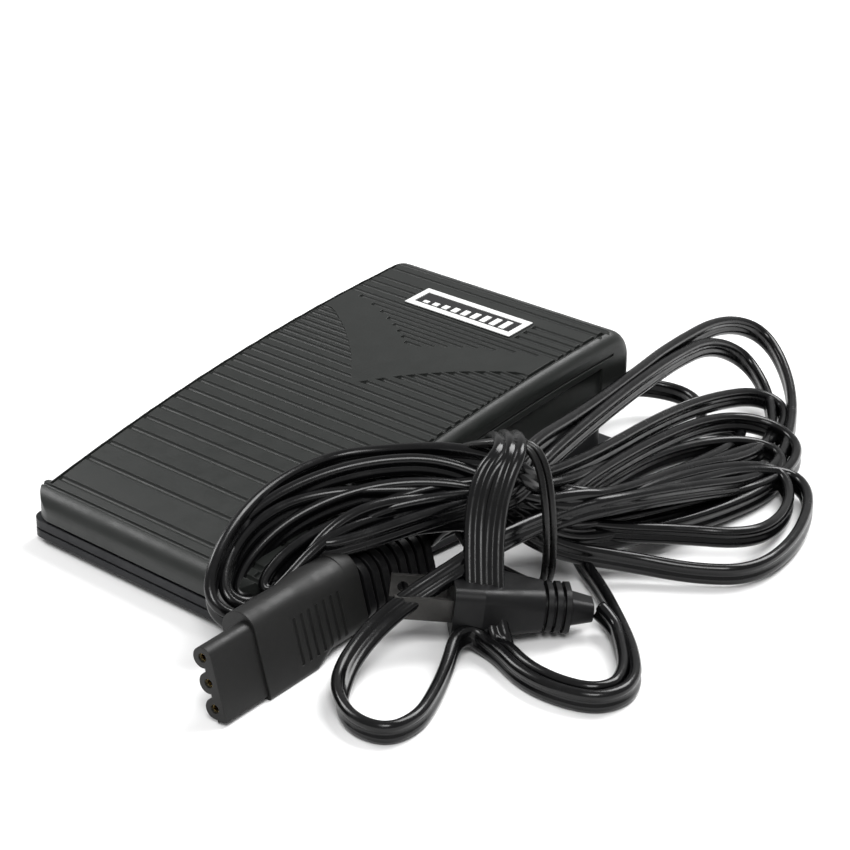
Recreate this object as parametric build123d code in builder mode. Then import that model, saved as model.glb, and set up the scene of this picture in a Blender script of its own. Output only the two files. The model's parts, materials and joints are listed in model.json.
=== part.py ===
"""Electronic foot pedal of a sewing machine: a ribbed treadle that tilts on a
tray, the speed control inside it, and its two flat cords with connector and plug.

Units are millimetres.  X runs across the pedal, Y from heel to toe and Z up.
The origin is on the floor, under the middle of the pedal.
"""
import os
from math import atan, cos, degrees, radians, sin, sqrt, tan

from build123d import *

# ---------------------------------------------------------------- overall size
WIDTH = 92.0
HEEL_END = -75.5
TOE_END = 82.0
LENGTH = TOE_END - HEEL_END
MID_Y = (HEEL_END + TOE_END) / 2  # everything is moved by this before it is written
HALF_W = WIDTH / 2
FOOT_H = 1.2  # rubber feet lift the tray off the floor
FLOOR_T = 2.4
TRAY_FLOOR = FOOT_H + FLOOR_T  # top face of the tray's floor
RIM_TOP = 7.4  # top of the outer rim of the tray
WALL_OUT = 43.0  # outer face of the tray's upstand, inside the treadle
WALL_T = 2.0
RIM_R = 5.0  # corner radius of the tray in plan
WALL_R = 6.0  # corner radius of the upstand
HEEL_R = 9.0  # corner radius of the treadle's heel in plan
TOE_R = 9.0  # rounding from the treadle's top into its toe face
EDGE_R = 4.0  # rounding of the treadle's side edges and toe corners

# --------------------------------------------------------------------- treadle
SHELL_T = 2.4
SHELL_IN = HALF_W - 2.5  # inner face of the treadle's side walls
HEEL_TOP = (-66.4, 17.5)  # three (Y, Z) points of the arched top
MID_TOP = (0.0, 34.6)
TOE_TOP = (72.8, 45.8)
SKIRT_HEEL = 8.2  # lower edge of the skirt at the heel and at the toe
SKIRT_TOE = 28.8
SKIRT_SLOPE = (SKIRT_TOE - SKIRT_HEEL) / LENGTH
WALL_OVERLAP = 2.4  # how far the tray's upstand reaches up inside the skirt

# hinge at the heel
PIVOT_Y = -67.0
PIVOT_Z = 9.5
PIN_R = 2.0
PRESS_DEG = 5.0

# ribs: grooves that run across the treadle
RIB_HALF = 42.7
GROOVE_R = 0.75
GROOVE_START = -66.4
GROOVE_BANDS = [(1, 10.2), (2, 8.05), (3, 5.85), (4, 4.8), (6, 3.65), (8, 2.45)]
CHEVRON_PITCH = 2.1  # close grooves between the arms of the chevron
CHEVRON_TOP = 51.6
CHEVRON_LINES = 8
TOE_PITCH = 3.7
SIDE_GROOVE_X = 42.7

# badge near the toe
BADGE_X = 0.2
BADGE_Y = 58.9
BADGE_W = 43.0
BADGE_H = 10.8
BADGE_T = 1.2

# --------------------------------------------------------------------- springs
SPRING_X = 28.0
SPRING_Y = 44.0
SPRING_R = 5.0
SPRING_WIRE = 0.55
SPRING_COILS = 8

# ----------------------------------------------------------------- speed lever
LEVER_Y = 12.0
LEVER_Z = 17.0
LEVER_ARM = 26.0
LEVER_REST_DEG = 12.0

# ----------------------------------------------------------------------- cords
CORD_W = 6.2  # flat twin cord: width and thickness
CORD_T = 3.2

os.makedirs("parts", exist_ok=True)
ASIDE = -1.3  # the cords lie this much nearer the pedal than drawn here


def keep(builder, name, aside=0.0):
    """Move a finished part so that the origin is under the pedal's middle, and write it."""
    part = builder.part.moved(Location((aside, -MID_Y, 0)))
    part.label = name
    export_step(part, f"parts/{name}.step")


def circle_through(p, q, r):
    """Centre and radius of the circle through three points."""
    ax, ay = q[0] - p[0], q[1] - p[1]
    bx, by = r[0] - p[0], r[1] - p[1]
    det = 2 * (ax * by - ay * bx)
    a2, b2 = ax * ax + ay * ay, bx * bx + by * by
    cx = (by * a2 - ay * b2) / det
    cy = (ax * b2 - bx * a2) / det
    return p[0] + cx, p[1] + cy, sqrt(cx * cx + cy * cy)


ARCH_Y, ARCH_Z, ARCH_R = circle_through(HEEL_TOP, MID_TOP, TOE_TOP)


def top_z(y, drop=0.0):
    """Height of the treadle's top, or of the arch a little below it."""
    r = ARCH_R - drop
    return ARCH_Z + sqrt(r * r - (y - ARCH_Y) ** 2)


def top_slope(y):
    """Slope of the top at y, in degrees."""
    return degrees(atan(-(y - ARCH_Y) / (top_z(y) - ARCH_Z)))


def skirt_z(y):
    """Lower edge of the treadle's skirt."""
    return SKIRT_HEEL + SKIRT_SLOPE * (y - HEEL_END)


def arch(y0, y1, drop=0.0):
    """Arc along the arched top from y0 to y1, inside a BuildLine."""
    ym = (y0 + y1) / 2
    return ThreePointArc((y0, top_z(y0, drop)), (ym, top_z(ym, drop)), (y1, top_z(y1, drop)))


def arch_band(y0, y1, drop_top, drop_bottom):
    """Sketch of the strip between two arches, Y to the right and Z up."""
    with BuildSketch() as band:
        with BuildLine():
            upper = arch(y0, y1, drop_top)
            lower = arch(y0, y1, drop_bottom)
            Line(upper @ 0, lower @ 0)
            Line(upper @ 1, lower @ 1)
        make_face()
    return band.sketch


def groove_lines():
    """Y of every groove outside the chevron, from heel to toe."""
    y = GROOVE_START
    rows = [y]
    for count, pitch in GROOVE_BANDS:
        for _ in range(count):
            y += pitch
            rows.append(y)
    return rows


# ==================================================================== treadle
BEAD_DEPTH = 9.0  # height of the thick band along the treadle's edge
RECESS_X = 45.0

V_OUTER = ((0, 8.5), (16, 24.4), (38.0, 38.8))  # lower edge of the chevron's arm
V_INNER = ((0, 32.3), (20, 43.6), (41.0, 50.4))  # upper edge of the same arm
V_CX, V_CY, V_R = circle_through(*V_INNER)


def v_inner_x(y):
    """Half width between the chevron's arms at y."""
    return V_CX - sqrt(V_R * V_R - (y - V_CY) ** 2)


# everything above the lower edge of the chevron, seen from above
with BuildPart() as chevron_zone:
    with BuildSketch(Plane.XY.offset(10)):
        with BuildLine():
            ThreePointArc(*V_OUTER)
            Polyline(V_OUTER[2], (HALF_W, V_OUTER[2][1] + 1), (HALF_W, 60), (0, 60), V_OUTER[0])
        make_face()
        mirror(about=Plane.YZ)
    extrude(amount=50)

with BuildPart() as rib_grooves:
    with BuildSketch(Plane.YZ):
        for row in groove_lines():
            with Locations((row, top_z(row) + 0.3)):
                Circle(GROOVE_R + 0.3)
    extrude(amount=RIB_HALF, both=True)
    add(chevron_zone.part, mode=Mode.SUBTRACT)

with BuildPart() as toe_grooves:
    for line in range(1, CHEVRON_LINES + 1):
        row = CHEVRON_TOP - CHEVRON_PITCH * line
        with BuildSketch(Plane.YZ):
            with Locations((row, top_z(row) + 0.15)):
                Circle(GROOVE_R)
        extrude(amount=v_inner_x(row) - 0.5, both=True)
    for line in range(4):
        row = CHEVRON_TOP + TOE_PITCH * line
        with BuildSketch(Plane.YZ):
            with Locations((row, top_z(row) + 0.3)):
                Circle(GROOVE_R + 0.3)
        extrude(amount=RIB_HALF, both=True)
    with BuildSketch(Plane.XY.offset(30)):
        with Locations((BADGE_X, BADGE_Y + 0.4)):
            Rectangle(BADGE_W + 2.4, BADGE_H + 0.6)
    extrude(amount=30, mode=Mode.SUBTRACT)
    for row in (TOE_TOP[0] - TOE_PITCH, TOE_TOP[0]):
        with BuildSketch(Plane.YZ):
            with Locations((row, top_z(row) + 0.3)):
                Circle(GROOVE_R + 0.3)
        extrude(amount=HALF_W, both=True)

BADGE_PLANE = Plane(
    origin=(BADGE_X, BADGE_Y, top_z(BADGE_Y)),
    x_dir=(1, 0, 0),
    z_dir=(0, -sin(radians(top_slope(BADGE_Y))), cos(radians(top_slope(BADGE_Y)))),
)
EAR_X = 22.0  # the treadle's hinge ears, inside the tray's lugs
EAR_T = 4.6
HOOK_X = 34.0  # travel hooks that stop the treadle from lifting off
HOOK_Y = 64.0
TIP_R = 3.0  # nylon tip of the speed lever
PAD_Y = LEVER_Y + LEVER_ARM * cos(radians(LEVER_REST_DEG))
PAD_Z = LEVER_Z + LEVER_ARM * sin(radians(LEVER_REST_DEG)) + TIP_R + 0.4



def heel_outline(inset, corner):
    """Outline seen from above, with its two heel corners rounded."""
    with BuildSketch() as outline:
        with Locations((0, MID_Y)):
            Rectangle(WIDTH - 2 * inset, LENGTH - 2 * inset)
        fillet(vertices().group_by(Axis.Y)[0], corner)
    return outline.sketch


with BuildPart() as inner_space:
    with BuildSketch(Plane.YZ):
        with BuildLine():
            upper = arch(-69.6, TOE_END - SHELL_T, SHELL_T)
            Line(upper @ 1, (TOE_END - SHELL_T, 0))
            Line((TOE_END - SHELL_T, 0), (HEEL_END + SHELL_T, 0))
            Line((HEEL_END + SHELL_T, 0), (HEEL_END + SHELL_T, 10.5))
            ThreePointArc((HEEL_END + SHELL_T, 10.5), (-72.3, 12.9), upper @ 0)
        make_face()
        fillet(vertices().sort_by(lambda v: v.X + v.Y)[-1], TOE_R - SHELL_T)
    extrude(amount=SHELL_IN, both=True)
    with BuildSketch():
        add(heel_outline(SHELL_T, HEEL_R - SHELL_T))
    extrude(amount=60, mode=Mode.INTERSECT)

with BuildPart() as treadle_cover:
    with BuildSketch(Plane.YZ):
        with BuildLine():
            upper = arch(-70.0, TOE_END)
            Line(upper @ 1, (TOE_END, SKIRT_TOE))
            Line((TOE_END, SKIRT_TOE), (HEEL_END, SKIRT_HEEL))
            Line((HEEL_END, SKIRT_HEEL), (HEEL_END, 10.6))
            ThreePointArc((HEEL_END, 10.6), (-74.2, 14.2), upper @ 0)
        make_face()
        fillet(vertices().sort_by(lambda v: v.X + v.Y)[-1], TOE_R)
    extrude(amount=HALF_W, both=True)
    # side edges of the top, on round the toe and down its corners
    fillet(edges().filter_by(lambda e: abs(e.center().X) > HALF_W - 1 and e.center().Z > 30), EDGE_R)
    with BuildSketch():
        add(heel_outline(0, HEEL_R))
    extrude(amount=60, mode=Mode.INTERSECT)
    add(inner_space.part, mode=Mode.SUBTRACT)
    # shallow recess in the sides, below the thick band
    with BuildSketch(Plane.YZ.offset(RECESS_X)):
        add(arch_band(-66, 68, BEAD_DEPTH, BEAD_DEPTH + 40))
    extrude(amount=4, mode=Mode.SUBTRACT)
    with BuildSketch(Plane.YZ.offset(-RECESS_X)):
        add(arch_band(-66, 68, BEAD_DEPTH, BEAD_DEPTH + 40))
    extrude(amount=-4, mode=Mode.SUBTRACT)
    # groove along each side of the top, and a bead line below it
    with BuildSketch(Plane.YZ.offset(SIDE_GROOVE_X - 0.7)):
        add(arch_band(-69.4, 72, -2, 1.1))
    extrude(amount=1.4, mode=Mode.SUBTRACT)
    with BuildSketch(Plane.YZ.offset(-SIDE_GROOVE_X - 0.7)):
        add(arch_band(-69.4, 72, -2, 1.1))
    extrude(amount=1.4, mode=Mode.SUBTRACT)
    with BuildSketch(Plane.YZ.offset(HALF_W - 0.6)):
        add(arch_band(-66, 73, 6.2, 7.0))
    extrude(amount=2, mode=Mode.SUBTRACT)
    with BuildSketch(Plane.YZ.offset(-HALF_W + 0.6)):
        add(arch_band(-66, 73, 6.2, 7.0))
    extrude(amount=-2, mode=Mode.SUBTRACT)
    # groove along the top edge of the heel
    with BuildSketch(Plane.YZ):
        with Locations((-70.4, top_z(-70.4) + 0.1)):
            Circle(0.7)
    extrude(amount=HALF_W, both=True, mode=Mode.SUBTRACT)
    add(rib_grooves.part, mode=Mode.SUBTRACT)
    add(toe_grooves.part, mode=Mode.SUBTRACT)
    # pocket for the badge
    with BuildSketch(BADGE_PLANE):
        Rectangle(BADGE_W + 0.3, BADGE_H + 0.3)
    extrude(amount=-1.0, mode=Mode.SUBTRACT)
    # two hinge ears round the pin
    for side in (-1, 1):
        with BuildSketch(Plane.YZ.offset(side * EAR_X - EAR_T / 2)):
            with BuildLine():
                Polyline(
                    (PIVOT_Y - 3.6, PIVOT_Z),
                    (PIVOT_Y - 3.6, top_z(PIVOT_Y) - 2.2),
                    (PIVOT_Y + 7.0, top_z(PIVOT_Y + 7) - 2.2),
                    (PIVOT_Y + 3.6, PIVOT_Z),
                    close=True,
                )
            make_face()
            with Locations((PIVOT_Y, PIVOT_Z)):
                Circle(3.6)
                Circle(PIN_R + 0.05, mode=Mode.SUBTRACT)
        extrude(amount=EAR_T)
    # bosses: springs, speed lever, travel hooks and end stops bear on these
    for side in (-1, 1):
        with BuildSketch(Plane.XY.offset(top_z(SPRING_Y) - 12)):
            with Locations((side * SPRING_X, SPRING_Y)):
                Circle(SPRING_R - 1.2)
        extrude(amount=10.5)
        with BuildSketch(Plane.XY.offset(top_z(SPRING_Y) - 5)):
            with Locations((side * SPRING_X, SPRING_Y)):
                Circle(SPRING_R + 1.4)
        extrude(amount=3.5)
        with BuildSketch(Plane.XY.offset(top_z(HOOK_Y) - 9)):
            with Locations((side * HOOK_X, HOOK_Y)):
                Rectangle(6, 7)
        extrude(amount=7.2)
    with BuildSketch(Plane.XY.offset(PAD_Z)):
        with Locations((0, PAD_Y)):
            Rectangle(12, 9)
    extrude(until=Until.NEXT)
keep(treadle_cover, "treadle_cover")

# ====================================================================== badge
with BuildPart() as badge_plate:
    with BuildSketch(BADGE_PLANE.offset(-1.0)):
        Rectangle(BADGE_W, BADGE_H)
    extrude(amount=BADGE_T)
keep(badge_plate, "badge_plate")

BADGE_TOP = BADGE_PLANE.offset(BADGE_T - 1.0)
with BuildPart() as badge_frame:
    with BuildSketch(BADGE_TOP):
        Rectangle(BADGE_W, BADGE_H)
        Rectangle(BADGE_W - 4.2, BADGE_H - 4.2, mode=Mode.SUBTRACT)
    extrude(amount=0.25)
keep(badge_frame, "badge_frame")

MARKS = 9  # bars that grow with speed
with BuildPart() as badge_marks:
    with BuildSketch(BADGE_TOP):
        for i in range(MARKS):
            tall = 1.4 + 0.42 * i
            with Locations(((i - (MARKS - 1) / 2) * 3.9, tall / 2 - 2.6)):
                Rectangle(2.1, tall)
    extrude(amount=0.25)
keep(badge_marks, "badge_marks")

# ======================================================================= tray
SCREW_R = 1.5
BOARD_X, BOARD_Y = 0.0, -24.0
BOARD_W, BOARD_L = 62.0, 50.0
BOARD_Z = 8.0
BOARD_T = 1.6
POST_R = 3.2
SPRING_SEAT = TRAY_FLOOR + 2.0
FOOT_X, FOOT_Y = 37.0, 66.0
FOOT_R = 6.0
FOOT_RECESS = 0.8
LUG_X = 27.4
LUG_T = 5.0
CLAMP_X, CLAMP_Y = 20.0, 63.0
CLAMP_SPOTS = [(CLAMP_X - 8, CLAMP_Y), (CLAMP_X + 8, CLAMP_Y)]
CLAMP_POST = 8.2
BUMP_X, BUMP_Y = 4.7, 66.0
BUMP_POST = 22.0
EXIT_X = CLAMP_X
EXIT_Z = 11.2
GROMMET_W, GROMMET_H = 11.0, 6.2
LEDGE_Z = 18.6

INNER_X = WALL_OUT - WALL_T
WALL_HEEL, WALL_TOE = -68.9, 74.7  # outer faces of the upstand
INNER_TOE = WALL_TOE - WALL_T
INNER_HEEL = -70.2

with BuildPart() as upstand_zone:
    with BuildSketch(Plane.YZ):
        with BuildLine():
            low = skirt_z(HEEL_END) + WALL_OVERLAP
            high = skirt_z(TOE_END) + WALL_OVERLAP - 0.8
            Polyline((HEEL_END, 3), (HEEL_END, low), (TOE_END, high), (TOE_END, 3), close=True)
        make_face()
    extrude(amount=HALF_W, both=True)
    with Locations((0, HEEL_END, 0)):
        Box(2 * INNER_X - 4, 30, 60, mode=Mode.SUBTRACT)

with BuildPart() as upstand:
    with BuildSketch(Plane.XY.offset(TRAY_FLOOR)):
        with Locations((0, (WALL_HEEL + WALL_TOE) / 2)):
            long = WALL_TOE - WALL_HEEL
            RectangleRounded(2 * WALL_OUT, long, WALL_R)
            RectangleRounded(2 * INNER_X, long - 2 * WALL_T, WALL_R - WALL_T, mode=Mode.SUBTRACT)
    extrude(amount=30)
    add(upstand_zone.part, mode=Mode.INTERSECT)

with BuildPart() as base_tray:
    with BuildSketch(Plane.XY.offset(FOOT_H)):
        with Locations((0, MID_Y)):
            RectangleRounded(WIDTH, LENGTH, RIM_R)
    extrude(amount=RIM_TOP - FOOT_H)
    chamfer(faces().sort_by(Axis.Z)[0].edges(), 0.8)
    with BuildSketch(Plane.XY.offset(TRAY_FLOOR)):
        with Locations((0, (INNER_HEEL + INNER_TOE) / 2)):
            RectangleRounded(2 * INNER_X, INNER_TOE - INNER_HEEL, WALL_R - WALL_T)
    extrude(amount=RIM_TOP, mode=Mode.SUBTRACT)
    # decorative line round the rim
    with BuildSketch(Plane.XY.offset(4.2)):
        with Locations((0, MID_Y)):
            RectangleRounded(WIDTH + 1, LENGTH + 1, RIM_R)
            RectangleRounded(WIDTH - 1, LENGTH - 1, RIM_R - 0.5, mode=Mode.SUBTRACT)
    extrude(amount=0.7, mode=Mode.SUBTRACT)
    add(upstand.part)
    # recesses for the feet, and vents under the heat sink
    with BuildSketch(Plane.XY.offset(FOOT_H)):
        with Locations((0, MID_Y)):
            with GridLocations(2 * FOOT_X, 2 * FOOT_Y, 2, 2):
                Circle(FOOT_R)
    extrude(amount=FOOT_RECESS, mode=Mode.SUBTRACT)
    with BuildSketch(Plane.XY.offset(FOOT_H)):
        with Locations((0, BOARD_Y)):
            with GridLocations(4.0, 0, 7, 1):
                SlotOverall(20, 1.6, rotation=90)
    extrude(amount=FLOOR_T, mode=Mode.SUBTRACT)
    # hinge lugs
    for side in (-1, 1):
        with BuildSketch(Plane.YZ.offset(side * LUG_X - LUG_T / 2)):
            with BuildLine():
                Polyline(
                    (PIVOT_Y - 2.8, TRAY_FLOOR), (PIVOT_Y - 3.2, PIVOT_Z),
                    (PIVOT_Y + 3.2, PIVOT_Z), (PIVOT_Y + 8, TRAY_FLOOR), close=True,
                )
            make_face()
            with Locations((PIVOT_Y, PIVOT_Z)):
                Circle(3.4)
                Circle(PIN_R, mode=Mode.SUBTRACT)
        extrude(amount=LUG_T)
    # posts of the circuit board
    with BuildSketch(Plane.XY.offset(TRAY_FLOOR)):
        with Locations((BOARD_X, BOARD_Y)):
            with GridLocations(BOARD_W - 8, BOARD_L - 8, 2, 2):
                Circle(POST_R)
    extrude(amount=BOARD_Z - TRAY_FLOOR)
    # seats and rims of the return springs
    with BuildSketch(Plane.XY.offset(TRAY_FLOOR)):
        with Locations((-SPRING_X, SPRING_Y), (SPRING_X, SPRING_Y)):
            Circle(SPRING_R + 2.4)
    extrude(amount=SPRING_SEAT - TRAY_FLOOR)
    with BuildSketch(Plane.XY.offset(SPRING_SEAT)):
        with Locations((-SPRING_X, SPRING_Y), (SPRING_X, SPRING_Y)):
            Circle(SPRING_R + 2.4)
            Circle(SPRING_R + 1.0, mode=Mode.SUBTRACT)
    extrude(amount=3)
    # posts and saddle of the cord clamp
    with BuildSketch(Plane.XY.offset(TRAY_FLOOR)):
        with Locations(*CLAMP_SPOTS):
            Circle(2.8)
    extrude(amount=CLAMP_POST - TRAY_FLOOR)
    with BuildSketch(Plane.XY.offset(TRAY_FLOOR)):
        with Locations((EXIT_X, CLAMP_Y)):
            Rectangle(8, 6)
    extrude(amount=EXIT_Z - CORD_T / 2 - TRAY_FLOOR)
    # posts under the end stops
    with BuildSketch(Plane.XY.offset(TRAY_FLOOR)):
        with Locations((-BUMP_X, BUMP_Y), (BUMP_X, BUMP_Y)):
            Circle(4.0)
    extrude(amount=BUMP_POST - TRAY_FLOOR)
    # ledges over the travel hooks
    for side in (-1, 1):
        with BuildSketch(Plane.XY.offset(LEDGE_Z)):
            with Locations((side * (INNER_X - 1.2), HOOK_Y - 1)):
                Rectangle(2.6, 6)
        extrude(amount=2.2)
    # gap in the toe wall for the cord's strain relief
    with BuildSketch(Plane.XZ.offset(-WALL_TOE - 1)):
        with Locations((EXIT_X, EXIT_Z)):
            Rectangle(GROMMET_W - 2, GROMMET_H)
    extrude(amount=WALL_T + 2, mode=Mode.SUBTRACT)
keep(base_tray, "base_tray")

with BuildPart() as rubber_feet:
    with BuildSketch(Plane.XY):
        with Locations((0, MID_Y)):
            with GridLocations(2 * FOOT_X, 2 * FOOT_Y, 2, 2):
                Circle(FOOT_R)
    extrude(amount=FOOT_H + FOOT_RECESS)
    chamfer(faces().group_by(Axis.Z)[0].edges(), 0.4)
keep(rubber_feet, "rubber_feet")

# ====================================================================== hinge
PIN_HALF = LUG_X + LUG_T / 2 + 1.6
with BuildPart() as hinge_pin:
    with BuildSketch(Plane.YZ.offset(-PIN_HALF)):
        with Locations((PIVOT_Y, PIVOT_Z)):
            Circle(PIN_R)
    extrude(amount=2 * PIN_HALF)
keep(hinge_pin, "hinge_pin")

with BuildPart() as pin_clips:
    for side in (-1, 1):
        with BuildSketch(Plane.YZ.offset(side * (LUG_X + LUG_T / 2 + 0.5) - 0.4)):
            with Locations((PIVOT_Y, PIVOT_Z)):
                Circle(3.2)
                Circle(PIN_R, mode=Mode.SUBTRACT)
                with Locations((0, -3)):
                    Rectangle(2, 4, mode=Mode.SUBTRACT)
        extrude(amount=0.8)
keep(pin_clips, "pin_clips")

# =================================================================== springs
SPRING_TOP = top_z(SPRING_Y) - 5
SPRING_H = SPRING_TOP - SPRING_SEAT
SPRING_TURN_R = SPRING_R - SPRING_WIRE
with BuildPart() as return_springs:
    for side in (-1, 1):
        spot = Plane(origin=(side * SPRING_X, SPRING_Y, SPRING_SEAT + SPRING_WIRE + 0.05))
        pitch = (SPRING_H - 2 * SPRING_WIRE - 0.1) / SPRING_COILS
        with BuildLine(spot) as wire_path:
            Helix(pitch, SPRING_H - 2 * SPRING_WIRE - 0.1, SPRING_TURN_R)
        with BuildSketch(Plane(origin=wire_path.line @ 0, z_dir=wire_path.line % 0)):
            Circle(SPRING_WIRE)
        sweep(path=wire_path.line)
keep(return_springs, "return_springs")

# ============================================================== circuit board
with BuildPart() as circuit_board:
    with BuildSketch(Plane.XY.offset(BOARD_Z)):
        with Locations((BOARD_X, BOARD_Y)):
            RectangleRounded(BOARD_W, BOARD_L, 2)
            with GridLocations(BOARD_W - 8, BOARD_L - 8, 2, 2):
                Circle(SCREW_R, mode=Mode.SUBTRACT)
    extrude(amount=BOARD_T)
keep(circuit_board, "circuit_board")

BOARD_TOP = BOARD_Z + BOARD_T


def screw_heads(spots, z, r=2.8, height=1.8, shank=0.0):
    """Pan heads with a cross slot, and their shanks, at the given places."""
    with BuildPart() as screws:
        with BuildSketch(Plane.XY.offset(z)):
            with Locations(*spots):
                Circle(r)
        extrude(amount=height)
        chamfer(faces().group_by(Axis.Z)[-1].edges(), 0.5)
        with BuildSketch(Plane.XY.offset(z + height)):
            with Locations(*spots):
                Rectangle(r * 1.2, 0.7)
                Rectangle(0.7, r * 1.2)
        extrude(amount=-0.8, mode=Mode.SUBTRACT)
        if shank:
            with BuildSketch(Plane.XY.offset(z)):
                with Locations(*spots):
                    Circle(SCREW_R)
            extrude(amount=-shank)
    return screws


board_corners = [
    (BOARD_X + i * (BOARD_W - 8) / 2, BOARD_Y + j * (BOARD_L - 8) / 2)
    for i in (-1, 1)
    for j in (-1, 1)
]
keep(screw_heads(board_corners, BOARD_TOP, shank=BOARD_T), "board_screws")

# heat sink: an upright plate with fins along its back
SINK_Y = BOARD_Y + 14
SINK_H = 10.0
with BuildPart() as heat_sink:
    with BuildSketch(Plane.XY.offset(BOARD_TOP)):
        with Locations((-12, SINK_Y)):
            Rectangle(26, 1.8)
        with Locations((-12, SINK_Y + 3.4)):
            with GridLocations(4.8, 0, 6, 1):
                Rectangle(1.0, 5.0)
    extrude(amount=SINK_H)
keep(heat_sink, "heat_sink")

with BuildPart() as triac:
    with BuildSketch(Plane.XZ.offset(-(SINK_Y - 0.9))):
        with Locations((-12, BOARD_TOP + 6.6)):
            Rectangle(10, 5.4)
    extrude(amount=4.2)
    with BuildSketch(Plane.XY.offset(BOARD_TOP)):
        with Locations((-12, SINK_Y - 3.4)):
            with GridLocations(2.5, 0, 3, 1):
                Rectangle(0.8, 0.6)
    extrude(amount=4.2)
keep(triac, "triac")

with BuildPart() as film_capacitor:
    with BuildSketch(Plane.XY.offset(BOARD_TOP)):
        with Locations((17, BOARD_Y + 12)):
            RectangleRounded(18, 8, 0.8)
    extrude(amount=9.5)
    fillet(faces().sort_by(Axis.Z)[-1].edges(), 0.6)
keep(film_capacitor, "film_capacitor")

with BuildPart() as timing_capacitor:
    with BuildSketch(Plane.XY.offset(BOARD_TOP)):
        with Locations((3, BOARD_Y + 2)):
            RectangleRounded(7.5, 4.5, 0.6)
    extrude(amount=7)
    fillet(faces().sort_by(Axis.Z)[-1].edges(), 0.5)
keep(timing_capacitor, "timing_capacitor")

CHOKE = (16.0, BOARD_Y - 6.0)
with BuildPart() as choke_core:
    with BuildSketch(Plane.XY.offset(BOARD_TOP + 0.8)):
        with Locations(CHOKE):
            Circle(7.6)
            Circle(4.4, mode=Mode.SUBTRACT)
    extrude(amount=5.0)
keep(choke_core, "choke_core")

CHOKE_TURNS = 14
with BuildPart() as choke_winding:
    for i in range(CHOKE_TURNS):
        turn = Plane(origin=(*CHOKE, BOARD_TOP + 3.3), x_dir=Vector(1, 0, 0)).rotated((0, 0, 24 * i))
        turn = Plane(origin=(*CHOKE, BOARD_TOP + 3.3), x_dir=turn.x_dir, z_dir=turn.y_dir)
        with BuildSketch(turn.offset(-0.35)):
            with Locations((6.0, 0)):
                Rectangle(4.8, 6.6)
                Rectangle(3.24, 5.04, mode=Mode.SUBTRACT)
        extrude(amount=0.7)
keep(choke_winding, "choke_winding")

with BuildPart() as resistors:
    for i in range(4):
        with BuildSketch(Plane.YZ.offset(-27)):
            with Locations((BOARD_Y - 14 + 5.0 * i, BOARD_TOP + 1.3)):
                Circle(1.25)
        extrude(amount=6.5)
keep(resistors, "resistors")

with BuildPart() as trigger_diode:
    with BuildSketch(Plane.YZ.offset(-14)):
        with Locations((BOARD_Y - 10, BOARD_TOP + 1.0)):
            Circle(0.95)
    extrude(amount=4.2)
keep(trigger_diode, "trigger_diode")

# ================================================================ speed lever
SHAFT_R = 2.0
BRACKET_X = 3.0
BRACKET_T = 1.2
LEVER_X = -2.9
LEVER_T = 3.0
TIP_Y = PAD_Y
TIP_Z = LEVER_Z + LEVER_ARM * sin(radians(LEVER_REST_DEG))

with BuildPart() as control_bracket:
    with BuildSketch(Plane.YZ.offset(BRACKET_X)):
        with BuildLine():
            Polyline(
                (LEVER_Y - 8, TRAY_FLOOR), (LEVER_Y - 8, LEVER_Z + 4), (LEVER_Y - 4, LEVER_Z + 7.5),
                (LEVER_Y + 4, LEVER_Z + 7.5), (LEVER_Y + 8, LEVER_Z + 4), (LEVER_Y + 8, TRAY_FLOOR),
                close=True,
            )
        make_face()
        with Locations((LEVER_Y, LEVER_Z)):
            Circle(3.5, mode=Mode.SUBTRACT)
    extrude(amount=BRACKET_T)
    with BuildSketch(Plane.XY.offset(TRAY_FLOOR)):
        with Locations((BRACKET_X + 8, LEVER_Y)):
            Rectangle(16, 16)
    extrude(amount=BRACKET_T)
keep(control_bracket, "control_bracket")

bracket_spots = [(BRACKET_X + 12.5, LEVER_Y - 4.6), (BRACKET_X + 12.5, LEVER_Y + 4.6)]
keep(screw_heads(bracket_spots, TRAY_FLOOR + BRACKET_T, r=2.4), "bracket_screws")

with BuildPart() as potentiometer:
    with BuildSketch(Plane.YZ.offset(BRACKET_X + BRACKET_T)):
        with Locations((LEVER_Y, LEVER_Z)):
            Circle(8)
    extrude(amount=7.5)
    with BuildSketch(Plane.YZ.offset(BRACKET_X + BRACKET_T + 1.5)):
        with Locations((LEVER_Y, LEVER_Z - 8)):
            Rectangle(11, 5)
    extrude(amount=1.2)
    with BuildSketch(Plane.YZ.offset(BRACKET_X - 1.4)):
        with Locations((LEVER_Y, LEVER_Z)):
            Circle(3.5)
    extrude(amount=BRACKET_T + 1.4)
    with BuildSketch(Plane.YZ.offset(BRACKET_X - 1.4)):
        with Locations((LEVER_Y, LEVER_Z)):
            Circle(SHAFT_R + 0.05)
    extrude(amount=BRACKET_T + 3.4, mode=Mode.SUBTRACT)
keep(potentiometer, "potentiometer")

with BuildPart() as control_shaft:
    with BuildSketch(Plane.YZ.offset(LEVER_X - 1.2)):
        with Locations((LEVER_Y, LEVER_Z)):
            Circle(SHAFT_R)
    extrude(amount=BRACKET_X + BRACKET_T + 1.4 - LEVER_X)
keep(control_shaft, "control_shaft")

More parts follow.
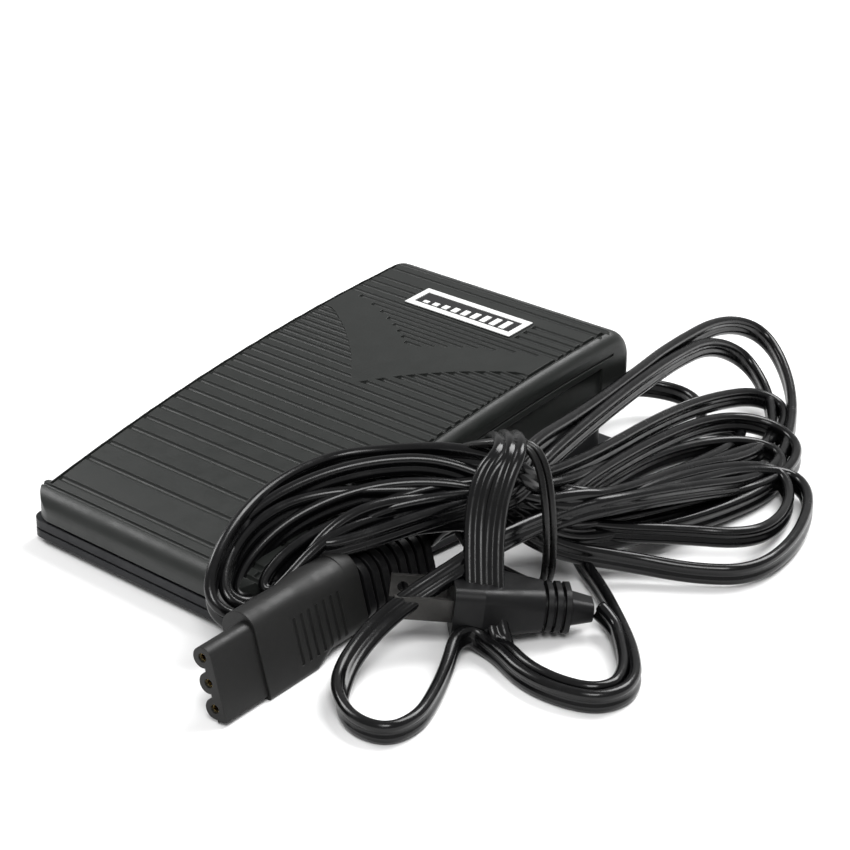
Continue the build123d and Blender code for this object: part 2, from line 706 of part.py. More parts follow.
with BuildPart() as speed_lever:
    with BuildSketch(Plane.YZ.offset(LEVER_X)):
        with Locations((LEVER_Y, LEVER_Z)):
            Circle(4.4)
        with Locations((TIP_Y, TIP_Z)):
            Circle(2.4)
        with Locations(((LEVER_Y + TIP_Y) / 2, (LEVER_Z + TIP_Z) / 2)):
            Rectangle(LEVER_ARM, 4.2, rotation=LEVER_REST_DEG)
        with Locations((LEVER_Y, LEVER_Z)):
            Circle(SHAFT_R, mode=Mode.SUBTRACT)
        with Locations((TIP_Y, TIP_Z)):
            Circle(1.3, mode=Mode.SUBTRACT)
    extrude(amount=LEVER_T)
keep(speed_lever, "speed_lever")

with BuildPart() as lever_tip:
    for start, r, thick in ((-2.2, TIP_R, 2.2), (0, 1.3, LEVER_T), (LEVER_T, TIP_R, 2.2)):
        with BuildSketch(Plane.YZ.offset(LEVER_X + start)):
            with Locations((TIP_Y, TIP_Z)):
                Circle(r)
        extrude(amount=thick)
keep(lever_tip, "lever_tip")

# ====================================================== stops and travel hooks
with BuildPart() as stop_bumpers:
    with BuildSketch(Plane.XY.offset(BUMP_POST)):
        with Locations((-BUMP_X, BUMP_Y), (BUMP_X, BUMP_Y)):
            Circle(3.4)
    extrude(amount=8.0)
    fillet(faces().group_by(Axis.Z)[-1].edges(), 1.0)
keep(stop_bumpers, "stop_bumpers")

HOOK_TOP = top_z(HOOK_Y) - 9
HOOK_FOOT = LEDGE_Z - 2.4
with BuildPart() as travel_hooks:
    with BuildSketch(Plane.XZ.offset(-HOOK_Y - 2)):
        with BuildLine():
            Polyline(
                (31.2, HOOK_TOP), (36.8, HOOK_TOP), (36.8, HOOK_TOP - 1.5), (35.0, HOOK_TOP - 1.5),
                (35.0, HOOK_FOOT + 1.5), (39.4, HOOK_FOOT + 1.5), (39.4, HOOK_FOOT),
                (33.5, HOOK_FOOT), (33.5, HOOK_TOP - 1.5), (31.2, HOOK_TOP - 1.5), close=True,
            )
        make_face()
    extrude(amount=4)
    mirror(about=Plane.YZ)
keep(travel_hooks, "travel_hooks")

# ============================================================ cord in the tray
FLANGE_Y = INNER_TOE - 1.8  # inner end of the cord's strain relief
with BuildPart() as cord_tail:
    with BuildSketch(Plane.XZ.offset(-56)):
        with Locations((EXIT_X, EXIT_Z)):
            SlotOverall(CORD_W, CORD_T)
    extrude(amount=-(FLANGE_Y - 56))
keep(cord_tail, "cord_tail")

with BuildPart() as cord_clamp:
    with BuildSketch(Plane.XZ.offset(-CLAMP_Y + 2.8)):
        with Locations((EXIT_X, EXIT_Z + CORD_T / 2 + 1.1)):
            Rectangle(22, 2.2)
        for x, _ in CLAMP_SPOTS:
            with Locations((x + (1.4 if x > EXIT_X else -1.4), (CLAMP_POST + EXIT_Z + CORD_T / 2) / 2)):
                Rectangle(3.2, EXIT_Z + CORD_T / 2 - CLAMP_POST)
    extrude(amount=-5.6)
keep(cord_clamp, "cord_clamp")
keep(screw_heads(CLAMP_SPOTS, EXIT_Z + CORD_T / 2 + 2.2, r=2.4), "clamp_screws")

BLOCK_X, BLOCK_Y = -22.0, 59.0
with BuildPart() as terminal_block:
    with BuildSketch(Plane.XY.offset(TRAY_FLOOR)):
        with Locations((BLOCK_X, BLOCK_Y)):
            Rectangle(16, 9)
    extrude(amount=8.5)
    with BuildSketch(Plane.XY.offset(TRAY_FLOOR + 8.5)):
        with Locations((BLOCK_X, BLOCK_Y)):
            with GridLocations(7.5, 0, 2, 1):
                Circle(2.1)
    extrude(amount=-2.4, mode=Mode.SUBTRACT)
keep(terminal_block, "terminal_block")

block_spots = [(BLOCK_X - 3.75, BLOCK_Y), (BLOCK_X + 3.75, BLOCK_Y)]
keep(screw_heads(block_spots, TRAY_FLOOR + 6.1, r=2.0, height=1.5), "terminal_screws")


def wires(routes, radius, corner):
    """Insulated wires along rounded polylines, all of one radius."""
    with BuildPart() as bundle:
        for route in routes:
            with BuildLine() as path:
                FilletPolyline(*route, radius=corner)
            with BuildSketch(Plane(origin=path.line @ 0, z_dir=path.line % 0)):
                Circle(radius)
            sweep(path=path.line)
    return bundle


LEAD_Z = TRAY_FLOOR + 4.4
live_leads = [
    [(EXIT_X - 1.5, 55.9, EXIT_Z), (EXIT_X - 2, 49, EXIT_Z - 1), (-2, 60.8, LEAD_Z), (-13.8, 60.8, LEAD_Z)],
    [(EXIT_X + 1.5, 55.9, EXIT_Z), (EXIT_X + 1, 45, EXIT_Z - 1), (-2, 57, LEAD_Z), (-13.8, 57, LEAD_Z)],
]
keep(wires(live_leads, 0.9, 3.5), "inner_leads")
board_leads = [
    [(-24 + 4 * i, 54.2, LEAD_Z), (-16 + 2.4 * i, 40, LEAD_Z - 1.5), (-22 + 3 * i, 20, LEAD_Z - 1.5),
     (-22 + 3 * i, 1.1, BOARD_Z + 0.8)]
    for i in range(2)
]
keep(wires(board_leads, 0.8, 4.0), "board_leads")

# ===================================================== strain relief at the toe
GROMMET_END = 98.0
with BuildPart() as cord_grommet:
    with BuildSketch(Plane.XZ.offset(-FLANGE_Y)):
        with Locations((EXIT_X, EXIT_Z)):
            RectangleRounded(12, 7.4, 1.5)
    extrude(amount=-(INNER_TOE - FLANGE_Y))
    with BuildSketch(Plane.XZ.offset(-INNER_TOE)):
        with Locations((EXIT_X, EXIT_Z)):
            Rectangle(GROMMET_W - 2, GROMMET_H)
    extrude(amount=-WALL_T)
    with BuildSketch(Plane.XZ.offset(-WALL_TOE)):
        with Locations((EXIT_X, EXIT_Z)):
            RectangleRounded(GROMMET_W, GROMMET_H, 2.4)
    with BuildSketch(Plane.XZ.offset(-GROMMET_END)):
        with Locations((EXIT_X, EXIT_Z)):
            RectangleRounded(CORD_W + 1.6, CORD_T + 1.6, 2.2)
    loft()
keep(cord_grommet, "cord_grommet")

# ================================================================== connector
# It lies on its narrow edge and leans back against the loops.  On its plane X runs
# up the long side, Y points out of the flat side and Z from the nose to the boot.
LEAN = 14.5
YAW = 8.4
CONTACT_PITCH = 6.9
LOBE_R = 2.9
NOSE_L = 16.7
CONTACT_R = 0.9
SLEEVE_R = 1.25
BODY_H = 24.2
BODY_T = 11.0
BODY_L = 43.0
BODY_WIDE = 20.0  # where the body starts to change to its rear half, and where that is done
BODY_REAR = 28.0
BODY_RING = BODY_L - 5.0
REAR_T = 14.6
REAR_DROP = 1.6  # the rear half is this much lower at both edges
SIDE = Vector(cos(radians(YAW)), sin(radians(YAW)), 0)
AXIS = Vector(-sin(radians(YAW)), cos(radians(YAW)), 0)
EDGE = Vector(0, 0, 1) * cos(radians(LEAN)) - SIDE * sin(radians(LEAN))
BODY = Plane(origin=(74.0, -91.9, 0.25), x_dir=EDGE, z_dir=AXIS)
NOSE = Plane(origin=BODY.origin - AXIS * NOSE_L + EDGE * 1.3 - BODY.y_dir * 0.65, x_dir=EDGE, z_dir=AXIS)
CONTACTS = [(3.6 + CONTACT_PITCH * i, -LOBE_R) for i in range(3)]


def body_section(height, thick, foot, low=0.0, out=0.0):
    """Connector outline: flat side on the plane's X axis, round top and a foot of radius foot."""
    with BuildSketch() as outline:
        with Locations((low + height - thick / 2, out - thick / 2)):
            Circle(thick / 2)
        with Locations((low + (height - thick / 2 + foot) / 2, out - thick / 2)):
            Rectangle(height - thick / 2 - foot, thick)
        with Locations((low + foot, out - thick / 2)):
            RectangleRounded(2 * foot, thick, foot * 0.98)
    return outline.sketch


with BuildPart() as connector_nose:
    with BuildSketch(NOSE):
        with Locations((CONTACTS[2][0] / 2, -LOBE_R / 2)):
            Rectangle(CONTACTS[2][0], LOBE_R)
        with Locations(CONTACTS):
            Circle(LOBE_R)
        with Locations(CONTACTS):
            Circle(SLEEVE_R, mode=Mode.SUBTRACT)
    extrude(amount=NOSE_L)
keep(connector_nose, "connector_nose", ASIDE)

with BuildPart() as connector_contacts:
    with BuildSketch(NOSE.offset(0.8)):
        with Locations(CONTACTS):
            Circle(SLEEVE_R)
            Circle(CONTACT_R, mode=Mode.SUBTRACT)
    extrude(amount=NOSE_L - 0.8)
keep(connector_contacts, "connector_contacts", ASIDE)

with BuildPart() as connector_body:
    with BuildSketch(BODY):
        add(body_section(BODY_H, BODY_T, 1.0))
    extrude(amount=BODY_WIDE)
    with BuildSketch(BODY.offset(BODY_WIDE)):
        add(body_section(BODY_H, BODY_T, 1.0))
    with BuildSketch(BODY.offset(BODY_REAR)):
        add(body_section(BODY_H - REAR_DROP, REAR_T - 1, 4.0, REAR_DROP))
    loft()
    with BuildSketch(BODY.offset(BODY_REAR)):
        add(body_section(BODY_H - REAR_DROP, REAR_T - 1, 4.0, REAR_DROP))
    extrude(amount=BODY_RING - BODY_REAR)
    with BuildSketch(BODY.offset(BODY_RING)):
        add(body_section(BODY_H - REAR_DROP + 1, REAR_T, 4.6, REAR_DROP - 0.5))
    extrude(amount=BODY_L - BODY_RING)
    # finger ridges across the flat side
    for ridge in range(7):
        with BuildSketch(BODY.offset(14.0 + 3.1 * ridge)):
            with Locations((10.0, 0)):
                Rectangle(13, 0.8)
        extrude(amount=1.2, mode=Mode.SUBTRACT)
    # it lies on the floor, and its lower rear corner is flat there
    with Locations((BODY.origin.X, BODY.origin.Y, -4.9)):
        Box(120, 160, 10, mode=Mode.SUBTRACT)
keep(connector_body, "connector_body", ASIDE)

# strain relief: a core with collars
BOOT_L = 34.0
COLLARS = 8
BOOT = Plane(origin=BODY.origin + AXIS * BODY_L, x_dir=EDGE, z_dir=AXIS)
BOOT_LOW = 3.6
with BuildPart() as connector_boot:
    with BuildSketch(BOOT):
        add(body_section(12.4, 7.0, 3.0, BOOT_LOW + 2.4, -2.4))
    extrude(amount=BOOT_L)
    for collar in range(COLLARS):
        with BuildSketch(BOOT.offset(1.4 + 3.9 * collar)):
            add(body_section(17.8 - 0.3 * collar, 13.4 - 0.2 * collar, 4.0, BOOT_LOW, 0.2))
        extrude(amount=2.6)
keep(connector_boot, "connector_boot", ASIDE)

# ================================================================ mains plug
PLUG_YAW = 41.7  # from +Y towards +X
PLUG_AXIS = Vector(sin(radians(PLUG_YAW)), cos(radians(PLUG_YAW)), -0.12).normalized()
PLUG_SIDE = Vector(cos(radians(PLUG_YAW)), -sin(radians(PLUG_YAW)), 0)
PLUG_L = 24.4
PLUG_W, PLUG_T = 19.6, 14.0
PLUG = Plane(origin=(82.9, -35.7, 11.2), x_dir=PLUG_SIDE, z_dir=PLUG_AXIS)
BLADE_GAP = 12.7
BLADE_L = 15.5
with BuildPart() as plug_body:
    with BuildSketch(PLUG):
        RectangleRounded(PLUG_W, PLUG_T, 3.0)
    extrude(amount=8.0)
    with BuildSketch(PLUG.offset(8.0)):
        RectangleRounded(PLUG_W, PLUG_T, 3.0)
    with BuildSketch(PLUG.offset(PLUG_L)):
        RectangleRounded(PLUG_W - 5.6, PLUG_T - 2.0, 4.6)
    loft()
    with BuildSketch(PLUG.offset(PLUG_L)):
        RectangleRounded(PLUG_W - 8.6, PLUG_T - 5.0, 3.6)
    extrude(amount=7.6)
    for ring in range(3):
        with BuildSketch(PLUG.offset(PLUG_L + 0.9 + 2.4 * ring)):
            RectangleRounded(PLUG_W - 5.6, PLUG_T - 1.6, 5.2)
        extrude(amount=1.5)
keep(plug_body, "plug_body", ASIDE)

with BuildPart() as plug_blades:
    with BuildSketch(PLUG):
        with GridLocations(BLADE_GAP, 0, 2, 1):
            Rectangle(1.5, 6.35)
    extrude(amount=-BLADE_L)
    with BuildSketch(Plane(origin=PLUG.origin - PLUG_AXIS * (BLADE_L - 3.4), x_dir=PLUG_AXIS, z_dir=PLUG.x_dir)):
        Circle(1.5)
    extrude(amount=PLUG_W, both=True, mode=Mode.SUBTRACT)
keep(plug_blades, "plug_blades", ASIDE)

PLUG_REAR = PLUG_L + 7.6
PLUG_BOOT_L = 6.0
with BuildPart() as plug_boot:
    with BuildSketch(PLUG.offset(PLUG_REAR)):
        RectangleRounded(10.0, 7.6, 2.6)
    with BuildSketch(PLUG.offset(PLUG_REAR + PLUG_BOOT_L)):
        RectangleRounded(7.8, 5.4, 2.2)
    loft()
keep(plug_boot, "plug_boot", ASIDE)
PLUG_END = PLUG.origin + PLUG_AXIS * (PLUG_REAR + PLUG_BOOT_L)

# ============================================================ hank and cords
CORD_R = CORD_W / 2


def tube(points):
    """A round cord through the given points, with every turn well rounded."""
    places = [Vector(*p) for p in points]
    runs = [b - a for a, b in zip(places, places[1:])]
    radii = []
    for first, second in zip(runs, runs[1:]):
        half = radians(first.get_angle(second)) / 2
        radii.append(0.45 * min(first.length, second.length) / tan(half))
    with BuildPart() as cord:
        with BuildLine() as route:
            FilletPolyline(*places, radius=radii)
        with BuildSketch(Plane(origin=places[0], z_dir=runs[0])):
            Circle(CORD_R)
        sweep(path=route.line)
    return cord


# the two coiled lengths lie in one bundle along the pedal's right side
HANK = [
    (-91, 38, 50, 8, 22),
    (-78, 31, 54, 4, 30),
    (-50, 25, 60, 3, 37),
    (-25, 28, 70, 3, 40),
    (-10, 52, 88, 5, 44),
    (6, 60, 92, 3, 45),
    (35, 62, 126, 1, 38),
    (70, 50, 128, 0.6, 36),
    (105, 39, 117, 0.6, 34),
    (150, 27, 72, 0.6, 31),
    (174, 32, 50, 8, 22),
]
with BuildPart() as cord_hank:
    for start, end in zip(HANK, HANK[1:]):
        for station, left, right, low, high in (start, end):
            with BuildSketch(Plane.XZ.offset(-station)):
                with Locations(((left + right) / 2, (low + high) / 2)):
                    RectangleRounded(right - left, high - low, 5)
        loft()
    # clear of the pedal
    with BuildSketch(Plane.YZ):
        with BuildLine():
            top_line = [(y, top_z(y) + 1.2) for y in (-70, -50, -30, -10, 10, 30, 50, 84)]
            Spline(*top_line)
            Polyline((84, top_z(84) + 1.2), (84, -5), (-77.5, -5), (-77.5, 18), (-70, top_z(-70) + 1.2))
        make_face()
    extrude(amount=WIDTH / 2 + 1.2 - ASIDE, both=True, mode=Mode.SUBTRACT)
    # clear of the connector and its boot
    with BuildSketch(BODY.offset(-4)):
        add(body_section(BODY_H + 1.4, REAR_T + 2.4, 1.0, -0.4, 1.2))
        with Locations((-4, -6)):
            Rectangle(10, 30)
    extrude(amount=BODY_L + BOOT_L + 4, mode=Mode.SUBTRACT)
    # clear of the plug and its boot
    with BuildSketch(PLUG.offset(-BLADE_L - 2)):
        Rectangle(PLUG_W + 3, PLUG_T + 2)
        with Locations((0, -PLUG_T / 2)):
            Rectangle(PLUG_W + 3, PLUG_T + 2)
    extrude(amount=BLADE_L + PLUG_REAR + PLUG_BOOT_L + 5, mode=Mode.SUBTRACT)
keep(cord_hank, "cord_hank", ASIDE)

# two turns of the cord hold the bundle and the plug together
WRAP = Plane(origin=(80, -15, 0), x_dir=(0.66, -0.75, 0), z_dir=(-0.75, -0.66, 0))
WRAP_OUTLINE = [
    (-25, 28), (-21, 42), (-8, 47), (6, 45.5), (14.5, 34), (20.5, 23.5), (29.5, 21), (32.2, 9), (32, 0.3), (-19, 0.3),
]
with BuildPart() as cord_wrap:
    with BuildSketch(WRAP):
        with BuildLine():
            Polyline(*WRAP_OUTLINE, close=True)
        make_face()
        offset(amount=-CORD_T, kind=Kind.INTERSECTION, mode=Mode.SUBTRACT)
    extrude(amount=CORD_W, both=True)
    # clear of the plug it is drawn round
    with BuildSketch(PLUG.offset(-4)):
        RectangleRounded(PLUG_W + 0.7, PLUG_T + 0.7, 3)
    extrude(amount=PLUG_L + 8, mode=Mode.SUBTRACT)
keep(cord_wrap, "cord_wrap", ASIDE)

pedal_route = [
    (EXIT_X - ASIDE, GROMMET_END, EXIT_Z), (EXIT_X - ASIDE + 0.4, 107, 10.6), (27, 118.5, 8.6), (37, 124, 7.2),
]
keep(tube(pedal_route), "pedal_cord", ASIDE)

LIE = CORD_R + 0.15  # height of a cord that lies on the floor
loop_route = [
    (88, -24, 24.3), (87.5, -37, 22.4), (85, -50, 16), (83, -63, 9.2), (86, -75, 4.4), (97, -84, LIE),
    (109, -82, LIE), (112, -70, LIE + 0.1), (106, -59, LIE), (105.5, -50, LIE + 0.1), (116, -47, LIE),
    (133, -52, LIE + 0.1), (147, -42, LIE), (148, -24, LIE + 0.1), (136, -4, LIE), (118, 7, LIE + 0.3), (101, 15, 6),
]
keep(tube(loop_route), "loop_cord", ASIDE)

plug_route = [
    tuple(PLUG_END), tuple(PLUG_END + PLUG_AXIS * 6), (122, -5, LIE + 0.2), (131, -13, LIE), (132, -24, LIE + 0.1),
    (125, -34, LIE), (115, -36, LIE + 0.1), (107, -31, LIE),
]
keep(tube(plug_route), "plug_cord", ASIDE)

# thin wire tie, two turns around the middle of the bundle
TIE_T = 1.1
with BuildPart() as wire_tie:
    for y in (-8.4, -6.0):
        with BuildSketch(Plane.XZ.offset(-y)):
            with Locations((71.5, 26.1)):
                RectangleRounded(39.8, 44.6, 6)
                RectangleRounded(39.8 - 2 * TIE_T, 44.6 - 2 * TIE_T, 5, mode=Mode.SUBTRACT)
        extrude(amount=TIE_T)
keep(wire_tie, "wire_tie", ASIDE)
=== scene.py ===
"""Looks of a sewing machine foot pedal with its flat cords, in metres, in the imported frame.

X runs across the pedal towards the cord bundle, Y from heel to toe and Z up.
"""
import bmesh
import bpy
import json
from math import cos, radians, sin
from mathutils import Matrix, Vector


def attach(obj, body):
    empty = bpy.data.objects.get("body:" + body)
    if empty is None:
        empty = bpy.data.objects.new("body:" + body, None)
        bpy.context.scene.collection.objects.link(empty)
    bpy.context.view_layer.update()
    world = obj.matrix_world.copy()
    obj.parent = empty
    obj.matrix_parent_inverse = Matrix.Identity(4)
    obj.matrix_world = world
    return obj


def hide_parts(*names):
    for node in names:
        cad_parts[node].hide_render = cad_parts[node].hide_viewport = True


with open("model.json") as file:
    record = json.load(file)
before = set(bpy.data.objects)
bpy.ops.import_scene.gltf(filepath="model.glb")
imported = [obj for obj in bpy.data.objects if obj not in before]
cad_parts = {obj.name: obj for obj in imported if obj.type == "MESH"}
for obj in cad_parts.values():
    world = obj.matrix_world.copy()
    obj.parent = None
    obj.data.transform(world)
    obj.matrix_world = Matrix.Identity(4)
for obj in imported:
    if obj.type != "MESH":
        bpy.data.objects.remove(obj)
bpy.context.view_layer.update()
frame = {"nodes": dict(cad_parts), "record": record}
NODES = frame["nodes"]

MM = 0.001


# ------------------------------------------------------------------- camera
def make_camera():
    """A long lens from the pedal's heel side, over the connector."""
    azimuth, elevation = radians(43.69), radians(23.46)
    look = Vector((-sin(azimuth) * cos(elevation), cos(azimuth) * cos(elevation), -sin(elevation)))
    data = bpy.data.cameras.new("camera")
    data.lens = 106.87
    data.sensor_width = 36.0
    data.clip_start = 0.01
    data.clip_end = 30.0
    camera = bpy.data.objects.new("camera", data)
    camera.location = (0.4855, -0.47125, 0.3180)
    camera.rotation_euler = look.to_track_quat("-Z", "Y").to_euler()
    bpy.context.scene.collection.objects.link(camera)
    bpy.context.scene.camera = camera


make_camera()


# ---------------------------------------------------------------- materials
class Nodes:
    """Short calls for building a material's node tree."""

    def __init__(self, name):
        self.material = bpy.data.materials.new(name)
        self.material.use_nodes = True
        self.tree = self.material.node_tree
        self.shader = self.tree.nodes["Principled BSDF"]
        self.coords = self.tree.nodes.new("ShaderNodeTexCoord").outputs["Object"]

    def link(self, source, target):
        self.tree.links.new(source, target)

    def noise(self, scale, detail=3.0, rough=0.5, stretch=None):
        node = self.tree.nodes.new("ShaderNodeTexNoise")
        node.inputs["Scale"].default_value = scale
        node.inputs["Detail"].default_value = detail
        node.inputs["Roughness"].default_value = rough
        source = self.coords
        if stretch:
            mapping = self.tree.nodes.new("ShaderNodeMapping")
            mapping.inputs["Scale"].default_value = stretch
            self.link(source, mapping.inputs["Vector"])
            source = mapping.outputs["Vector"]
        self.link(source, node.inputs["Vector"])
        return node.outputs["Fac"]

    def ramp(self, source, low, high, out_low, out_high):
        node = self.tree.nodes.new("ShaderNodeMapRange")
        self.link(source, node.inputs["Value"])
        node.inputs["From Min"].default_value = low
        node.inputs["From Max"].default_value = high
        node.inputs["To Min"].default_value = out_low
        node.inputs["To Max"].default_value = out_high
        return node.outputs["Result"]

    def mix(self, factor, first, second):
        node = self.tree.nodes.new("ShaderNodeMix")
        node.data_type = "RGBA"
        node.inputs["A"].default_value = (*first, 1)
        node.inputs["B"].default_value = (*second, 1)
        self.link(factor, node.inputs["Factor"])
        return node.outputs["Result"]

    def bump(self, height, strength, distance, edge=0.0):
        node = self.tree.nodes.new("ShaderNodeBump")
        if edge:
            rounding = self.tree.nodes.new("ShaderNodeBevel")
            rounding.samples = 4
            rounding.inputs["Radius"].default_value = edge
            self.link(rounding.outputs["Normal"], node.inputs["Normal"])
        node.inputs["Strength"].default_value = strength
        node.inputs["Distance"].default_value = distance
        self.link(height, node.inputs["Height"])
        self.link(node.outputs["Normal"], self.shader.inputs["Normal"])


def moulded(
    name, dark, light, rough,
    grain=2600.0, grain_depth=0.00004, specular=0.5, spread=0.08, edge=0.0004,
):
    """Moulded plastic or rubber: a little colour drift, uneven gloss, a fine grain and eased edges."""
    m = Nodes(name)
    drift = m.noise(38.0, 4.0, 0.6)
    m.link(m.mix(drift, dark, light), m.shader.inputs["Base Color"])
    gloss = m.ramp(m.noise(160.0, 4.0, 0.65), 0.3, 0.7, rough - spread, rough + spread)
    m.link(gloss, m.shader.inputs["Roughness"])
    m.shader.inputs["Specular IOR Level"].default_value = specular
    m.bump(m.noise(grain, 2.0, 0.6), 0.5, grain_depth, edge)
    return m.material


def metal(name, dark, light, rough, scratch=(1.0, 1.0, 1.0)):
    """Bare metal with faint drawn or turned marks."""
    m = Nodes(name)
    m.link(m.mix(m.noise(60.0, 4.0, 0.6), dark, light), m.shader.inputs["Base Color"])
    m.shader.inputs["Metallic"].default_value = 1.0
    gloss = m.ramp(m.noise(900.0, 3.0, 0.6, scratch), 0.3, 0.7, rough * 0.7, rough * 1.3)
    m.link(gloss, m.shader.inputs["Roughness"])
    m.bump(m.noise(1800.0, 2.0, 0.5, scratch), 0.25, 0.00002)
    return m.material


MATERIALS = {
    "treadle_plastic": moulded(
        "treadle_plastic", (0.013, 0.0145, 0.0135), (0.017, 0.0185, 0.0172), 0.40, specular=0.30,
    ),
    "base_plastic": moulded(
        "base_plastic", (0.006, 0.0065, 0.008), (0.009, 0.0095, 0.0115), 0.46, specular=0.25,
    ),
    "badge_field": moulded(
        "badge_field", (0.008, 0.008, 0.009), (0.011, 0.011, 0.012), 0.25, spread=0.04,
    ),
    "badge_white": moulded("badge_white", (0.72, 0.73, 0.72), (0.80, 0.80, 0.79), 0.35, spread=0.04),
    "foot_rubber": moulded("foot_rubber", (0.012, 0.012, 0.012), (0.02, 0.02, 0.02), 0.7),
    "cord_black": moulded(
        "cord_black", (0.0015, 0.0015, 0.0018), (0.0028, 0.0028, 0.0031), 0.22, 1400.0, 0.00003,
        specular=0.34, edge=0.0,
    ),
    "boot_black": moulded(
        "boot_black", (0.003, 0.003, 0.0033), (0.005, 0.005, 0.0055), 0.42, specular=0.25,
    ),
    "connector_black": moulded(
        "connector_black", (0.008, 0.008, 0.008), (0.012, 0.012, 0.0115), 0.46, specular=0.28,
    ),
    "plug_black": moulded(
        "plug_black", (0.003, 0.003, 0.0034), (0.005, 0.005, 0.0054), 0.42, specular=0.22,
    ),
    "tie_black": moulded("tie_black", (0.002, 0.002, 0.002), (0.004, 0.004, 0.004), 0.3, specular=0.35),
    "bright_steel": metal(
        "bright_steel", (0.50, 0.50, 0.51), (0.62, 0.62, 0.63), 0.25, (1.0, 12.0, 12.0),
    ),
    "spring_steel": metal("spring_steel", (0.38, 0.38, 0.40), (0.50, 0.50, 0.52), 0.32),
    "zinc_steel": metal("zinc_steel", (0.55, 0.55, 0.52), (0.70, 0.70, 0.68), 0.35),
    "sink_aluminium": metal(
        "sink_aluminium", (0.66, 0.66, 0.67), (0.76, 0.76, 0.77), 0.38, (1.0, 14.0, 1.0),
    ),
    "copper_wire": metal("copper_wire", (0.62, 0.28, 0.12), (0.75, 0.38, 0.18), 0.28),
    # painted shade: the plug's nickel-plated blades get a near-black colour for the shade they sit in
    # under the cords
    "blade_nickel": metal("blade_nickel", (0.055, 0.054, 0.052), (0.085, 0.083, 0.08), 0.42),
    "brass_metal": metal("brass_metal", (0.62, 0.46, 0.19), (0.74, 0.57, 0.26), 0.28),
    "pot_case": metal("pot_case", (0.50, 0.50, 0.48), (0.62, 0.62, 0.60), 0.36),
    "board_laminate": moulded("board_laminate", (0.30, 0.17, 0.06), (0.42, 0.26, 0.10), 0.5),
    "chip_black": moulded("chip_black", (0.015, 0.015, 0.016), (0.025, 0.025, 0.026), 0.5),
    "film_yellow": moulded("film_yellow", (0.62, 0.42, 0.04), (0.74, 0.55, 0.07), 0.3),
    "sleeve_blue": moulded("sleeve_blue", (0.02, 0.05, 0.22), (0.04, 0.08, 0.32), 0.3),
    "ferrite_grey": moulded("ferrite_grey", (0.05, 0.05, 0.05), (0.09, 0.09, 0.09), 0.6),
    "resistor_beige": moulded("resistor_beige", (0.55, 0.42, 0.24), (0.70, 0.57, 0.36), 0.4),
    "diode_glass": moulded("diode_glass", (0.05, 0.14, 0.38), (0.08, 0.20, 0.48), 0.2),
    "lever_nylon": moulded("lever_nylon", (0.68, 0.66, 0.58), (0.78, 0.76, 0.69), 0.45),
    "block_white": moulded("block_white", (0.66, 0.66, 0.63), (0.78, 0.78, 0.75), 0.45),
    "lead_brown": moulded("lead_brown", (0.10, 0.04, 0.02), (0.16, 0.07, 0.03), 0.4),
    "lead_blue": moulded("lead_blue", (0.03, 0.07, 0.28), (0.05, 0.11, 0.38), 0.4),
}


def dress(piece, slot):
    """Gives a piece the one material of the named slot."""
    piece.data.materials.clear()
    piece.data.materials.append(MATERIALS[slot])


for subpart in frame["record"]["subparts"]:
    dress(NODES[subpart["node"]], subpart["material_slot"])

# -------------------------------------------------------------------- cords
# Route points in millimetres, listed about a centre that lies SHIFT from the
# origin.  Each length also says which way the flat cord's width faces: up when the
# cord stands on edge, along the bundle in the wrap, or leaning in the small loop.
CORD_W = 6.2 * MM
CORD_T = 3.2 * MM
UP = Vector((0, 0, 1))
WRAP_AXIS = Vector((-0.75, -0.66, 0))
BROAD_ABOVE = Vector((-0.6, -0.1, 0.75))
BROAD_OUT = Vector((-0.54, -0.31, 0.4))
FLOOR_Z = 3.2  # middle of a cord that lies on the floor on edge
SHIFT = Vector((-1.3, -3.25, 0))


def lengths(points, wide):
    """Route points in metres, each with the direction of the cord's width."""
    return [((Vector(p) + SHIFT) * MM, wide) for p in points]


EXIT = (21.3, 98, 11.2)
LEAD_OUT = [
    EXIT, (21.7, 107, 10.8), (25, 118, 9), (38, 124, 7.5), (53, 113, 7), (61, 88, 8), (66, 50, 12),
    (76, 16, 22), (81, -2, 34),
]
LEFT_A = [
    (77, -7, 39), (61, -11, 39), (46, -18, 36), (33, -30, 34), (30, -51, 31), (37, -74, 26),
    (44, -87, 16), (51, -82, 9), (53, -70, 14), (55, -52, 26), (60, -30, 26), (70, -13, 22),
    (80, -2, 18),
]
TOE_A = [
    (87, 12, 22), (92, 19, 23), (93, 53, 16), (92, 85, 7), (85, 110, 4), (62, 147, 7),
    (37, 166, 16), (33, 146, 26), (43, 105, 30), (52, 78, 32), (65, 36, 35), (74, 6, 39),
]
LEFT_B = [
    (79, -5, 37), (63, -12, 35.5), (48, -19, 33), (35, -30, 31), (31, -49, 27.5), (36, -70, 22),
    (44, -82, 14), (50, -74, 8), (52, -64, 14), (54, -48, 29), (62, -26, 30), (78, -4, 24),
]
TOE_B = [
    (86, 10, 26), (90, 22, 23), (83, 67, 15), (82, 94, 8), (74, 119, 4), (55, 143, 6),
    (39, 151, 13), (38, 133, 23), (46, 105, 28), (56, 72, 31), (68, 34, 33), (78, 4, 34),
]
TO_BOOT = [
    (80, -6, 30), (72, -14, 26), (62, -18, 20), (57, -16, 14), (54.3, -15.8, 12.2),
]

